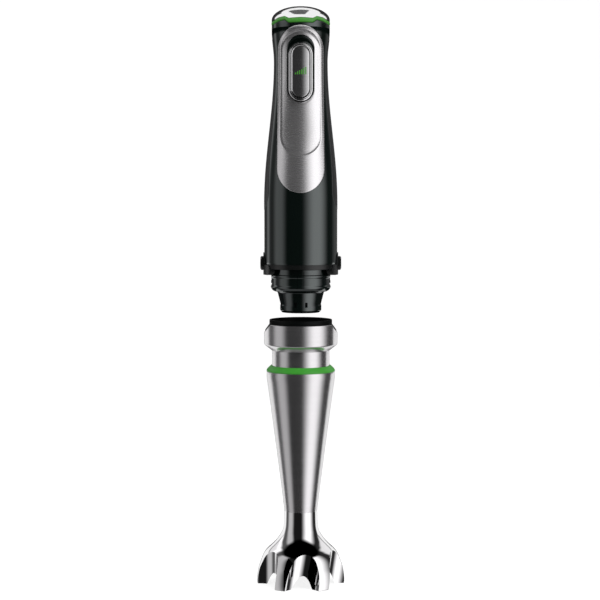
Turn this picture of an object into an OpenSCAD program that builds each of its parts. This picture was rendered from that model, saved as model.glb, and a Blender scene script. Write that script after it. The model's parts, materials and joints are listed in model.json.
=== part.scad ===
// Immersion blender: a motor handle above, and its blending shaft just below it,
// drawn back from the handle by the small gap that it has before it is clicked on.
// Millimetres, +Z up along the drive axis, front (speed button) towards -Y.
// The origin is on the drive axis at the height of the feet of the bell.

/* [Handle] */
// Radius of the straight lower body
body_r = 29; // [28.5:0.1:29.5]
// Smallest radius, behind the speed button
waist_r = 21.1; // [21:0.1:21.5]
// Radius under the chrome cap
head_r = 22.9; // [22.8:0.1:23.2]
// Thickness of the two housing shells
shell_t = 2.8; // [2.6:0.1:3]
// Depth of the pockets for the grips and the faceplate
pocket_t = 1.6; // [1.5:0.1:1.7]
// Height of the chrome dome above its straight wall
dome_h = 10.8; // [9.8:0.2:11.8]

/* [Controls] */
// Half width of the speed button
button_hw = 9.5; // [9:0.1:9.6]
// How far the speed button stands proud of the body
button_proud = 1.6; // [1:0.1:2]
// Inward travel of the speed button
button_travel = 3; // [2:0.5:3]
// Radius of the release buttons
release_r = 5.6; // [5:0.1:5.7]
// Inward travel of a release button
release_travel = 2; // [1.5:0.1:2]

/* [Motor] */
// Outer radius of the stator stack
stator_r = 25.4; // [24.8:0.1:25.6]
// Outer radius of the armature
armature_r = 14.7; // [14.2:0.1:14.8]
// Radius of the motor shaft
motor_shaft_r = 3; // [3:0.1:3.1]
// Number of armature slots
armature_slots = 12; // [8:1:14]
// Number of fan blades
fan_blades = 11; // [7:1:13]

/* [Coupling] */
// Radius of the connector nose where the collar fits over it
nose_r = 23.9; // [23.7:0.1:23.9]
// Radius of the bore in the collar
collar_bore_r = 24.1; // [24.1:0.1:24.2]
// Outer radius of the steel collar
collar_r = 29.3; // [29:0.1:29.6]
// Travel of the shaft from its drawn-back place to clicked home
attach_travel = 39; // [37:0.5:39]

/* [Shaft] */
// Outer radius of the neck tube
neck_r = 22.9; // [22.8:0.1:23]
// Largest radius of the lower tube
tube_r = 27.2; // [27:0.1:27.5]
// Radius of the lower tube at the bell
throat_r = 13.3; // [13.2:0.1:13.6]
// Wall of the lower tube
tube_t = 1.2; // [1:0.1:1.3]
// Radius of the drive shaft
drive_r = 4; // [4:0.05:4.1]
// How far the bell tube slides up over the neck
plunge_travel = 10; // [8:0.5:10]

/* [Bell] */
// Outer radius of the bell
bell_r = 35; // [34.6:0.1:35.4]
// Number of legs and arches
bell_legs = 6; // [6:1:6]
// Radius of a scallop between two legs
scallop_r = 14.6; // [14.2:0.1:14.8]
// Distance of a scallop's middle line from the drive axis
scallop_place = 38.5; // [38.3:0.1:39]
// How many degrees a scallop leans over sideways
scallop_lean = 9; // [0:1:10]
// How many degrees a scallop leans outwards at its top
scallop_out = 5; // [3:1:5]
// Radius of the circle that the blade tips cut
blade_r = 19; // [18:0.5:19.5]

/* [Hidden] */
$fn = 96;

// Clearances: between fixed pieces, in running fits, and between sliding shells
fit = 0.02;
run = 0.05;
slack = 0.3;
far = 40;

// Heights along the handle
nose_bottom_z = 218;
nose_step_z = 234.4;
flange_z = 253;
body_z = 256.5;
flare_z = 304;
waist_z = 416;
head_z = 441;
dome_z = 448.5;

// Heights along the shaft
rim_z = 212.3;
sleeve_top_z = 208.8;
cone_top_z = 192.6;
cone_z = 187.6;
socket_floor_z = 194.4;
carrier_z = 177.5;
carrier_bottom_z = 168;
neck_bottom_z = 160;
tube_top_z = 170.9;
tube_full_z = 166;
seam_z = 58.5;

// Widths worked out from the driving ones
hole_hw = button_hw + slack;
well_hw = button_hw + 1;
motor_bolt_x = 11.5;
motor_bolt_y = 19.9;
screw_places = [[-12, 344], [12, 344], [-7, 439.3], [7, 439.3]];
release_z = 257.2;
ear_r = 29.8;
dog_r = 5;
bell_turn = 1.5;

// The light ring seen from the front: distance from the middle, middle height, half thickness
crown = [[24, 445.6, 1.2], [21.4, 445.9, 1.2], [17.6, 447.6, 1.25], [12.6, 448.4, 1.3],
         [9.4, 446.4, 1.6], [0, 446.7, 1.75]];
rear_ring_z = 445.6;
rear_ring_half = 1.2;

function ease(t) = 0.5 - 0.5 * cos(180 * t);
function body_radius(z) =
    z < flare_z ? body_r
    : z < waist_z ? body_r + (waist_r - body_r) * ease((z - flare_z) / (waist_z - flare_z))
    : z < head_z ? waist_r + (head_r - waist_r) * ease((z - waist_z) / (head_z - waist_z))
    : head_r;
function body_line(z0, z1, inset, n) =
    [for (i = [0:n]) let (z = z0 + (z1 - z0) * i / n) [body_radius(z) - inset, z]];
function dome_line(r, h, n) =
    [for (i = [0:n]) let (a = 90 * i / n) [r * cos(a), dome_z + h * sin(a)]];
function reversed(p) = [for (i = [len(p) - 1:-1:0]) p[i]];
function tube_radius(z) =
    z > tube_full_z ? tube_r
    : throat_r + (tube_r - throat_r) * pow((z - seam_z) / (tube_full_z - seam_z), 1.06);
function tube_line(z0, z1, inset, n) =
    [for (i = [0:n]) let (z = z0 + (z1 - z0) * i / n) [tube_radius(z) - inset, z]];

// Outline of two circles and their common tangents, the lower one r1 at z1
function pod(r1, z1, r2, z2, n = 14) =
    let (lean = asin((r1 - r2) / (z2 - z1)))
    concat(
        [for (i = [0:n]) let (a = 180 - lean + (180 + 2 * lean) * i / n)
            [r1 * cos(a), z1 + r1 * sin(a)]],
        [for (i = [0:n]) let (a = lean + (180 - 2 * lean) * i / n)
            [r2 * cos(a), z2 + r2 * sin(a)]]);
function pill(hw, z0, z1) = pod(hw, z0 + hw, hw, z1 - hw);

// Front edges of the light ring, side is -1 for its lower edge and 1 for its upper edge
function crown_edge(side) =
    concat([for (p = crown) [-p[0], p[1] + side * p[2]]],
           [for (i = [len(crown) - 2:-1:0]) [crown[i][0], crown[i][1] + side * crown[i][2]]]);

module turned(points) rotate_extrude() polygon(points);

module ring(r_out, r_in, z0, z1)
    translate([0, 0, z0])
        difference() {
            cylinder(h = z1 - z0, r = r_out);
            translate([0, 0, -1]) cylinder(h = z1 - z0 + 2, r = r_in);
        }

module rod(r, z0, z1) translate([0, 0, z0]) cylinder(h = z1 - z0, r = r);

// A rod along Y or X from a to b
module rod_y(r, x, z, a, b)
    translate([x, b, z]) rotate([90, 0, 0]) cylinder(h = b - a, r = r);

module rod_x(r, y, z, a, b)
    translate([a, y, z]) rotate([0, 90, 0]) cylinder(h = b - a, r = r);

module block(x0, x1, y0, y1, z0, z1)
    translate([x0, y0, z0]) cube([x1 - x0, y1 - y0, z1 - z0]);

// A front outline (x, z) pushed through the depth from y0 to y1
module front_prism(points, y0, y1)
    translate([0, y1, 0]) rotate([90, 0, 0]) linear_extrude(y1 - y0) polygon(points);

// A side outline (y, z) pushed from the axis out to +X
module side_prism(points)
    rotate([90, 0, 90]) linear_extrude(far) polygon(points);

// The body between two insets from its outside
module body_skin(inner, outer, z0, z1, n = 20)
    turned(concat(body_line(z0, z1, outer, n), reversed(body_line(z0, z1, inner, n))));

// A round-wire compression spring on +Z, as a closed swept mesh
module coil(r, wire, z0, z1, turns) {
    sides = 6;
    steps = 14;
    rise = z1 - z0 - wire;
    count = turns * steps;
    points = [for (i = [0:count]) for (j = [0:sides - 1])
        let (a = 360 * i / steps, b = 360 * j / sides, d = r + wire / 2 * cos(b))
        [d * cos(a), d * sin(a), z0 + wire / 2 + rise * i / count + wire / 2 * sin(b)]];
    walls = [for (i = [0:count - 1]) for (j = [0:sides - 1])
        let (p = i * sides + j, q = i * sides + (j + 1) % sides)
        [p, p + sides, q + sides, q]];
    first = [for (j = [0:sides - 1]) j];
    last = [for (j = [sides - 1:-1:0]) count * sides + j];
    polyhedron(points, concat(walls, [first, last]));
}

/* ---- handle shells ---- */

module faceplate_outline(grow)
    front_prism(pod(18.6 + grow, 331.4, 17.8 + grow, 425), -far, 0);

module grip_prism(grow)
    side_prism(pod(14.4 + grow, 313.5, 7 + grow, 427));

module ear_prism(grow) {
    side_prism(pod(8.8 + grow, 256.9, 8.8 + grow, 257));
    side_prism(pill_flat(17 + grow, 4 + grow, 252.2));
}

// A level stadium: half length, radius and height of its middle
function pill_flat(half, r, z) =
    concat([for (i = [0:12]) let (a = -90 + 180 * i / 12) [half - r + r * cos(a), z + r * sin(a)]],
           [for (i = [0:12]) let (a = 90 + 180 * i / 12) [-half + r + r * cos(a), z + r * sin(a)]]);

module both_sides() {
    children();
    mirror([1, 0, 0]) children();
}

module housing_shell() {
    z1 = dome_z;
    difference() {
        body_skin(shell_t, 0, body_z, z1, 30);
        intersection() {
            body_skin(pocket_t, -2, 280, z1, 26);
            both_sides() grip_prism(0.05);
        }
        both_sides() ear_prism(0.1);
    }
}

// All that is in front of the seam and under the light ring
module under_crown()
    front_prism(concat([[-far, rear_ring_z - rear_ring_half]], crown_edge(-1),
                       [[far, rear_ring_z - rear_ring_half], [far, body_z - 1], [-far, body_z - 1]]),
                -far, -fit);

module front_boss(x, z) {
    intersection() {
        rod_y(2.9, x, z, -far, 0);
        body_solid(pocket_t + 0.4);
    }
}

module body_solid(inset)
    turned(concat([[0, body_z]], body_line(body_z, dome_z, inset, 30), [[0, dome_z]]));

// Front of a screw head: just behind the pocket's floor all over the head
function screw_top(x, z) =
    0.1 - sqrt(pow(min(body_radius(z - 2.4), body_radius(z + 2.4)) - pocket_t, 2)
               - pow(abs(x) + 2.4, 2));

module front_housing() color([0.03, 0.03, 0.03]) {
    difference() {
        intersection() {
            union() {
                housing_shell();
                for (p = screw_places) front_boss(p[0], p[1]);
            }
            under_crown();
        }
        intersection() {
            body_skin(pocket_t, -2, 300, dome_z, 24);
            faceplate_outline(0.05);
        }
        front_prism(pill(well_hw + 0.1, 383.3, 435.4), -far, -10);
        for (p = screw_places) {
            rod_y(1.5, p[0], p[1], -far, 1);
            rod_y(2.4, p[0], p[1], -far, screw_top(p[0], p[1]) + 1.8);
        }
    }
}

module rear_housing() color([0.035, 0.035, 0.035]) {
    difference() {
        intersection() {
            union() {
                housing_shell();
                for (p = screw_places)
                    intersection() {
                        rod_y(2.9, p[0], p[1], 0, far);
                        body_solid(1);
                    }
            }
            block(-far, far, fit, far, body_z, rear_ring_z - rear_ring_half);
        }
        for (p = screw_places) rod_y(1.25 + fit, p[0], p[1], -1, 8.5);
        rod_y(4.65, 0, 430, 10, far);
    }
}

module side_grip_right() color([0.07, 0.07, 0.07])
    intersection() {
        body_skin(pocket_t - fit, -0.15, 285, 440, 24);
        grip_prism(0);
    }

module side_grip_left() mirror([1, 0, 0]) side_grip_right();

module faceplate() color([0.72, 0.71, 0.72])
    difference() {
        intersection() {
            body_skin(pocket_t - fit, -0.2, 305, 446, 26);
            faceplate_outline(0);
        }
        intersection() {
            body_skin(0.6, -2, 305, 446, 26);
            front_prism(pod(16.4, 357.6, 16, 423.8), -far, 0);
        }
        front_prism(pill(well_hw + 0.1, 383.3, 435.4), -far, 0);
    }

module button_surround() color([0.02, 0.02, 0.02])
    difference() {
        intersection() {
            front_prism(pill(well_hw, 383.4, 435.3), -far, -14.7);
            body_solid(0.7);
        }
        front_prism(pill(hole_hw, 383.7, 429.7), -far, -10);
    }

/* ---- cap, light and safety key ---- */

module top_cap() color([0.85, 0.85, 0.86])
    difference() {
        turned(concat([[head_r, 443]], dome_line(head_r, dome_h, 14),
                      reversed(dome_line(head_r - 1.8, dome_h - 1.8, 14)), [[head_r - 1.8, 443]]));
        front_prism(concat(crown_edge(1), [[24, 440], [-24, 440]]), -far, 0);
        block(-far, far, 0, far, 440, rear_ring_z + rear_ring_half);
        key_prism(slack, 450, 465);
    }

module key_prism(grow, z0, z1)
    translate([0, 0, z0]) linear_extrude(z1 - z0) polygon(pod(6 + grow, -4, 6 + grow, 4));

module light_ring() color([0.24, 0.72, 0.2])
    intersection() {
        ring(head_r + 0.1, head_r - 2.8, 440, 452);
        union() {
            front_prism(concat(crown_edge(1), reversed(crown_edge(-1))), -far, 0);
            block(-far, far, 0, far, rear_ring_z - rear_ring_half, rear_ring_z + rear_ring_half);
        }
    }

module light_board() color([0.05, 0.3, 0.12]) {
    difference() {
        rod(head_r - shell_t - 0.2, 442.2, 443.6);
        both_sides() rod_z(13, 0, 2, 441, 445);
    }
    for (i = [0:7])
        rotate([0, 0, 22.5 + 45 * i]) block(16.4, 19.4, -1.5, 1.5, 443.6, 444.7);
    block(-3, 3, 5.5, 10.5, 443.6, 447.8);
}

module rod_z(x, y, r, z0, z1) translate([x, y, z0]) cylinder(h = z1 - z0, r = r);

module safety_button() color([0.8, 0.8, 0.81]) {
    intersection() {
        key_prism(0, 453.6, 465);
        turned(concat([[0, 450], [head_r, 450]], [for (p = dome_line(head_r, dome_h, 14))
            if (p[1] > 450) p]));
    }
    key_prism(1, 453.6, 455);
    rod(2, 450, 454);
    block(-2, 2, 7, 9, 450.1, 454);
}

module safety_spring() color([0.7, 0.7, 0.72]) coil(3.2, 0.6, 443.62, 453.58, 5);

/* ---- speed button ---- */

module speed_button() color([0.82, 0.82, 0.83]) {
    difference() {
        intersection() {
            front_prism(pill(button_hw, 384, 429.4), -far, -14);
            body_solid(-button_proud);
        }
        intersection() {
            front_prism(pill(6.7, 387.1, 426.5), -far, 0);
            body_skin(-button_proud + 1, -4, 380, 434, 10);
        }
    }
    front_prism(pill(10.9, 382.6, 430.8), -14.5, -13.2);
    rod_y(1.9, 0, 407, -14, -9);
}

module button_pad() color([0.45, 0.45, 0.46])
    intersection() {
        front_prism(pill(6.65, 387.15, 426.45), -far, 0);
        body_skin(-button_proud + 1 - fit, -button_proud - 0.1, 380, 434, 10);
    }

module button_springs() color([0.7, 0.7, 0.72])
    for (z = [393, 421])
        translate([0, -3.02, z]) rotate([90, 0, 0]) coil(3, 0.6, 0, 10.16, 5);

/* ---- electronics ---- */

module board_carrier() color([0.2, 0.2, 0.2]) {
    difference() {
        block(-17.4, 17.4, -3, -1, 350, 432);
        block(-8, 8, -4, 0, 352, 384);
    }
}

module control_board() color([0.05, 0.35, 0.15])
    block(-11, 11, -1, 0.6, 351, 430);

module speed_sensor() color([0.12, 0.12, 0.13])
    difference() {
        block(-5, 5, -9.8, -3, 402, 412);
        rod_y(2.4, 0, 407, -12, -5);
    }

module filter_capacitor() color([0.1, 0.2, 0.5]) rod_z(0, 7.2, 6.4, 356, 380);

module power_switch() color([0.6, 0.6, 0.62]) {
    block(-9, 9, 0.6, 2.6, 390, 414);
    for (x = [-8:4:8]) block(x - 0.6, x + 0.6, 2.6, 10, 390, 414);
}

module cord_gland() color([0.04, 0.04, 0.04])
    difference() {
        union() {
            difference() {
                rod_y(5.8, 0, 430, 18, 25.5);
                body_solid(-0.02);
            }
            rod_y(4.8, 0, 430, 23.2, 27);
            rod_y(4.6, 0, 430, 17, 24);
            rod_y(5.7, 0, 430, 16.4, 18.4);
        }
        rod_y(3.3, 0, 430, 10, far);
    }

/* ---- motor ---- */

// The four bolt places of the motor, as holes or shanks
module at_motor_bolts()
    for (sx = [-1, 1]) for (sy = [-1, 1]) translate([sx * motor_bolt_x, sy * motor_bolt_y, 0]) children();

module stator_shoulders(z0, z1)
    intersection() {
        ring(25.2, 20.8, z0, z1);
        block(-17, 17, -far, far, z0, z1);
    }

module motor_frame_bottom() color([0.25, 0.25, 0.26])
    difference() {
        union() {
            ring(22, 13, flange_z, 262);
            stator_shoulders(261, 270);
        }
        both_sides() rod_x(3.3, 0, release_z, 15.5, 30);
        both_sides() block(20, far, -4.1, 4.1, 252, 255);
        at_motor_bolts() rod(1.5 + fit, 262.5, 271);
    }

module stator_core() color([0.5, 0.5, 0.52])
    difference() {
        rod(stator_r, 270, 306);
        rod(armature_r + 0.6, 269, 307);
        for (a = [0, 180]) rotate([0, 0, a]) {
            block(12, 19.6, 3.5, 14, 269, 307);
            block(12, 19.6, -14, -3.5, 269, 307);
        }
        at_motor_bolts() rod(1.5 + fit, 269, 307);
    }

// Two field coils, each a loop through the slots beside one pole
module stator_windings() color([0.7, 0.4, 0.2])
    for (s = [-1, 1]) {
        for (x = [-1, 1])
            block(x > 0 ? 15.8 : -19.2, x > 0 ? 19.2 : -15.8, s > 0 ? 4 : -11, s > 0 ? 11 : -4, 270 - 5, 306 + 5);
        for (z = [264.5, 306.2])
            intersection() {
                ring(20.4, 16, z, z + 5);
                block(-19.2, 19.2, s > 0 ? 4 : -far, s > 0 ? far : -4, z, z + 5);
            }
    }

module motor_frame_top() color([0.25, 0.25, 0.26])
    difference() {
        union() {
            stator_shoulders(306, 314);
            ring(25, 15.5, 313, 316);
            for (s = [-1, 1]) block(-5, 5, s > 0 ? 16.5 : -21, s > 0 ? 21 : -16.5, 314, 336);
            block(-6, 6, -21, 21, 329, 336);
            rod(9.5, 329, 336);
        }
        rod(6.5 + fit, 330, 337);
        rod(4.6, 328, 331);
        at_motor_bolts() rod(1.5 + fit, 300, 320);
    }

module upper_motor_bearing() color([0.75, 0.75, 0.77]) ring(6.5, motor_shaft_r + run, 330, 335);

module lower_motor_bearing() color([0.75, 0.75, 0.77]) ring(9.5, motor_shaft_r + run, 233, 239);

module motor_bolts() color([0.6, 0.6, 0.62])
    at_motor_bolts() {
        rod(1.5, 263, 317);
        rod(2.6, 316, 318.5);
    }

module brush_holders() color([0.75, 0.6, 0.25])
    both_sides()
        difference() {
            block(10.5, 21.5, -4, 4, 316, 328);
            block(9, 20.5, -2.55, 2.55, 318.9, 325.1);
        }

module brushes() color([0.15, 0.15, 0.16])
    both_sides()
        difference() {
            block(7, 17, -2.5, 2.5, 319, 325);
            rod(8 + run, 310, 335);
        }

module motor_shaft() color([0.8, 0.8, 0.82]) rod(motor_shaft_r, 222, 336.5);

module armature_core() color([0.45, 0.45, 0.47])
    difference() {
        ring(armature_r, motor_shaft_r + fit, 271, 305);
        for (i = [0:armature_slots - 1])
            rotate([0, 0, 360 * i / armature_slots]) {
                rod_z(11, 0, 1.7, 270, 306);
                block(11, 16, -0.6, 0.6, 270, 306);
            }
    }

module armature_windings() color([0.72, 0.42, 0.2]) {
    turned([[4, 271], [12.4, 271], [12.4, 267], [9.5, 264], [4, 264]]);
    turned([[4, 305], [12.4, 305], [12.4, 309], [9.5, 313], [4, 313]]);
}

module commutator() color([0.75, 0.45, 0.25])
    difference() {
        ring(8, motor_shaft_r + fit, 316.5, 327.5);
        for (i = [0:armature_slots - 1])
            rotate([0, 0, 360 * i / armature_slots]) block(7.2, 9, -0.2, 0.2, 316, 328);
    }

module fan() color([0.1, 0.1, 0.1]) {
    ring(6, motor_shaft_r + fit, 243.5, 251.5);
    ring(19.2, 5.5, 243.5, 244.7);
    for (i = [0:fan_blades - 1])
        rotate([0, 0, 360 * i / fan_blades]) translate([5, 0, 244]) rotate([0, 0, 14])
            block(0, 13, -0.5, 0.5, 0, 7);
}

module drive_dog() color([0.55, 0.55, 0.56])
    difference() {
        translate([0, 0, 220.6]) cylinder(h = 9.4, r = dog_r, $fn = 6);
        rod(motor_shaft_r + fit, 222, 231);
    }

/* ---- fasteners of the handle ---- */

module housing_screws() color([0.6, 0.6, 0.62])
    for (p = screw_places) {
        rod_y(2.3, p[0], p[1], screw_top(p[0], p[1]), screw_top(p[0], p[1]) + 1.78);
        rod_y(1.25, p[0], p[1], screw_top(p[0], p[1]) + 1, 8);
    }

/* ---- clip band, nose and release buttons ---- */

module clip_band() color([0.05, 0.05, 0.05])
    difference() {
        union() {
            ring(body_r, 22.7, flange_z, body_z);
            both_sides() intersection() {
                ring(ear_r, ear_r - 3.4, 240, 270);
                ear_prism(0);
            }
        }
        both_sides() {
            rod_x(release_r + slack, 0, release_z, 20, far);
            block(21.5, 25.5, -7.2, 7.2, 250, 258);
        }
    }

module connector_nose() color([0.04, 0.04, 0.04])
    difference() {
        turned([[21.4, flange_z], [nose_r - 0.6, flange_z], [nose_r - 0.6, 248.4], [nose_r, 247.7],
                [nose_r, 246.5], [nose_r - 0.6, 245.6], [nose_r - 0.6, nose_step_z + 5.6],
                [nose_r, nose_step_z + 4.6], [nose_r, nose_step_z + 3.4], [nose_r - 1.4, nose_step_z + 1.4],
                [18.5, nose_step_z], [16, 224.4], [16.4, 223.8], [16.4, 219.8],
                [14.8, nose_bottom_z], [13, nose_bottom_z], [13, 231], [4.5, 231], [4.5, 232.9],
                [9.5 + fit, 232.9], [9.5 + fit, 240.5], [21.4, 240.5]]);
        both_sides() block(19, far, -4.1, 4.1, 240.5, flange_z + 1);
        for (x = [-4.4, 4.4]) block(x - 1, x + 1, -far, 0, 222.5, 226.5);
    }

module release_button_right() color([0.05, 0.05, 0.05]) {
    translate([0, 0, release_z]) rotate([0, 90, 0])
        turned([[0, 24.3], [release_r, 24.3], [release_r, 31.3], [release_r - 0.9, 32.1], [0, 32.1]]);
    intersection() {
        rod_x(6.5, 0, release_z, 24.3, 25.2);
        block(20, 30, -8, 8, flange_z + 0.3, 270);
    }
    block(22.4, 25, -3.7, 3.7, 252.2, 254.2);
    block(22.4, 23.3, -3.7, 3.7, 241.4, 253);
    block(22.4, 23.6, -3, 3, 241.4, 243.4);
}

module release_button_left() mirror([1, 0, 0]) release_button_right();

module release_spring_right() color([0.7, 0.7, 0.72])
    translate([15.52, 0, release_z]) rotate([0, 90, 0]) coil(2.5, 0.5, 0, 8.76, 5);

module release_spring_left() mirror([1, 0, 0]) release_spring_right();

/* ---- shaft: collar and neck ---- */

// The flat on each side of the collar that makes room for an ear, sloping down and out from its top
module side_flat(drop)
    both_sides()
        front_prism([[24.3, sleeve_top_z], [30.3, sleeve_top_z - drop], [far, sleeve_top_z - drop],
                     [far, sleeve_top_z]], -far, far);

module collar_sleeve() color([0.75, 0.75, 0.76])
    difference() {
        turned([[collar_r - 0.8, sleeve_top_z], [collar_r - 0.3, sleeve_top_z],
                [collar_r, sleeve_top_z - 0.4], [collar_r, cone_top_z], [neck_r + 0.12, cone_z],
                [neck_r + 0.02, cone_z + 0.9], [collar_r - 0.8, cone_top_z + 0.6]]);
        side_flat(8.6);
    }

module collar_insert() color([0.04, 0.04, 0.04])
    difference() {
        turned([[collar_bore_r, rim_z - 0.6], [collar_bore_r + 0.5, rim_z], [24.8, rim_z],
                [25, rim_z - 0.4], [25, sleeve_top_z - 0.1], [collar_r - 0.82, sleeve_top_z - 0.1],
                [collar_r - 0.82, cone_top_z + 0.7], [neck_r, cone_z + 1],
                [neck_r - 0.82, cone_z + 1], [neck_r - 0.82, carrier_bottom_z],
                [5, carrier_bottom_z], [5, 170], [8 + fit, 170], [8 + fit, carrier_z],
                [18.9, carrier_z], [18.9, socket_floor_z], [collar_bore_r, socket_floor_z]]);
        both_sides() block(20, 26, -4.4, 4.4, 201.4, 206);
        side_flat(7.2);
    }

module neck_tube() color([0.75, 0.75, 0.76])
    turned([[neck_r - 0.8, cone_z + 0.9], [neck_r, cone_z + 0.9], [neck_r, neck_bottom_z + 1.6],
            [neck_r + 0.6, neck_bottom_z + 1.6], [neck_r + 0.6, neck_bottom_z],
            [neck_r - 0.8, neck_bottom_z]]);

module shaft_bearing() color([0.75, 0.75, 0.77]) ring(8, drive_r + run, 170.1, 175.1);

module plunge_spring() color([0.7, 0.7, 0.72]) coil(9, 1.4, 116.02, 167.98, 7);

/* ---- shaft: bell tube ---- */

module wiper_ring() color([0.22, 0.68, 0.18])
    turned([[neck_r + slack, tube_top_z], [tube_r, tube_top_z], [tube_r - 0.5, 172.6],
            [neck_r + 0.7, 175.6], [neck_r + slack, 175.6]]);

module guide_bush() color([0.3, 0.3, 0.3])
    turned(concat([[neck_r + run, 162.2]], tube_line(162.2, tube_top_z - 0.02, tube_t + fit, 4),
                  [[neck_r + run, tube_top_z - 0.02]]));

module lower_tube() color([0.75, 0.75, 0.76])
    turned(concat(tube_line(seam_z + 0.02, tube_full_z, 0, 14), [[tube_r, tube_top_z - 0.02]],
                  [[tube_r - tube_t, tube_top_z - 0.02]],
                  reversed(tube_line(seam_z + 0.02, tube_full_z, tube_t, 14))));

module spring_seat() color([0.3, 0.3, 0.3])
    turned(concat([[6, 112]], tube_line(112, 116, tube_t + fit + 0.03, 2), [[6, 116]]));

function bell_outside() = [
    [throat_r, seam_z], [throat_r + 0.3, 47.6], [throat_r + 1.1, 43.2], [throat_r + 2.9, 39.3],
    [throat_r + 5.9, 35], [throat_r + 9.3, 31.4], [throat_r + 12.6, 28.4], [throat_r + 15, 25.8],
    [throat_r + 16.9, 22.6], [bell_r - 2.9, 17.6], [bell_r - 1.3, 13], [bell_r - 0.4, 8], [bell_r, 4],
    [bell_r, 1], [bell_r - 0.8, 0]];

// The inside of the bell, from its feet up to the seat of the seal
bell_inside = [[27.6, 0], [26, 6], [24.4, 12], [22.4, 20], [20, 26], [16.5, 31], [13, 36], [11.5, 40]];

// One scallop: a leaning round cut that leaves an arch between two legs
module scallop()
    translate([0, -scallop_place, 0]) rotate([scallop_out, scallop_lean, 0]) rod(scallop_r, -10, 50);

module bell() color([0.8, 0.8, 0.81])
    difference() {
        turned(concat(bell_outside(), bell_inside, [
            [8 + fit, 40], [8 + fit, 45.5], [10.5 + fit, 45.5], [10.5 + fit, 63],
            [throat_r - tube_t - 0.05, 63], [throat_r - tube_t - 0.05, seam_z]]));
        for (i = [0:bell_legs - 1]) rotate([0, 0, bell_turn + 360 * i / bell_legs]) scallop();
    }

module shaft_bush() color([0.3, 0.3, 0.3]) ring(10.5, drive_r + run, 45.6, 62.9);

module shaft_seal() color([0.08, 0.08, 0.08]) ring(8, drive_r + run, 42, 45.4);

/* ---- drive shaft and blade ---- */

module drive_shaft() color([0.8, 0.8, 0.82]) {
    rod(drive_r, 22, 180.9);
    rod(2.5, 13.8, 23);
}

module drive_socket() color([0.3, 0.3, 0.32])
    difference() {
        turned([[0, 178.3], [6, 178.3], [7.2, 180], [7.2, 190.2], [6.6, 191], [0, 191]]);
        rod(drive_r + fit, 170, 181);
        translate([0, 0, 180.95]) cylinder(h = 12, r = dog_r + 0.35, $fn = 6);
    }

module blade_hub() color([0.5, 0.5, 0.52])
    turned([[2.5 + fit, 20.12], [6, 20.12], [7, 26], [7, 38.8], [drive_r + fit, 38.8],
            [drive_r + fit, 21.98], [2.5 + fit, 21.98]]);

module blade_wing() {
    linear_extrude(1.6) polygon([[0, -4.5], [12, -5.2], [14, -4.6], [14, 3.4], [0, 4.5]]);
    translate([13.6, 0, 0]) rotate([0, -28, 0])
        linear_extrude(1.6) polygon([[0, -4.7], [5, -3.4], [blade_r - 13.4, 1.2], [4, 3.2], [0, 3.4]]);
}

module blade() color([0.85, 0.85, 0.86])
    difference() {
        union() {
            translate([0, 0, 18.5]) blade_wing();
            translate([0, 0, 20.1]) rotate([180, 0, 180]) blade_wing();
        }
        rod(2.5 + fit, 15, 25);
    }

module blade_nut() color([0.7, 0.7, 0.72])
    difference() {
        union() {
            translate([0, 0, 15.4]) cylinder(h = 3.08, r = 4.6, $fn = 6);
            turned([[0, 12.8], [2.4, 13.2], [3.7, 14.6], [3.9, 16], [0, 16]]);
        }
        rod(2.5 + fit, 13.7, 20);
    }

front_housing();
rear_housing();
side_grip_left();
side_grip_right();
faceplate();
button_surround();
top_cap();
light_ring();
light_board();
control_board();
board_carrier();
speed_sensor();
filter_capacitor();
power_switch();
cord_gland();
motor_frame_top();
motor_frame_bottom();
stator_core();
stator_windings();
brush_holders();
brushes();
upper_motor_bearing();
lower_motor_bearing();
motor_bolts();
housing_screws();
clip_band();
connector_nose();
motor_shaft();
armature_core();
armature_windings();
commutator();
fan();
drive_dog();
speed_button();
button_pad();
button_springs();
safety_button();
safety_spring();
release_button_left();
release_button_right();
release_spring_left();
release_spring_right();
collar_sleeve();
collar_insert();
neck_tube();
shaft_bearing();
plunge_spring();
wiper_ring();
guide_bush();
lower_tube();
spring_seat();
bell();
shaft_bush();
shaft_seal();
drive_shaft();
drive_socket();
blade_hub();
blade();
blade_nut();
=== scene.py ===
"""Looks of the immersion blender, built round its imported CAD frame.

Sizes are in millimetres, but those of the soft lights and the camera are in metres.
"""
import json
import math

import bmesh
import bpy
from mathutils import Matrix, Vector


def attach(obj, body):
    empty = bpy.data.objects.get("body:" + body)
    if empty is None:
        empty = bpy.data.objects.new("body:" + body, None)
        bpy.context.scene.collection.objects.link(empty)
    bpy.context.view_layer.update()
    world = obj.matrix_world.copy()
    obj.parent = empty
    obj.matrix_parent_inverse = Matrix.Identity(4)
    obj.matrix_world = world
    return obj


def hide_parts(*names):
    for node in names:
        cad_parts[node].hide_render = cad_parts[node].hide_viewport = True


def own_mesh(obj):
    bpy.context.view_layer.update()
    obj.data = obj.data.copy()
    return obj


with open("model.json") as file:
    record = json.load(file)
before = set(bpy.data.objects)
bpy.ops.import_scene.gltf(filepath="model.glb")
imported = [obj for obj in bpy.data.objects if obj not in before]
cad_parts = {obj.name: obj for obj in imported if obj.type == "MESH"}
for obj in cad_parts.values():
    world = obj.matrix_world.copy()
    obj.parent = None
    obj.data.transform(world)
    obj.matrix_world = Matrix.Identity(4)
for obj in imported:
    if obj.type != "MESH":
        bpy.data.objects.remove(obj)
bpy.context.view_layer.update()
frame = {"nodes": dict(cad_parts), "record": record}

MM = 0.001
TURNED_SIDES = 288
MERGE_METRES, SLIVER_METRES = 2e-7, 1e-7

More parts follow.
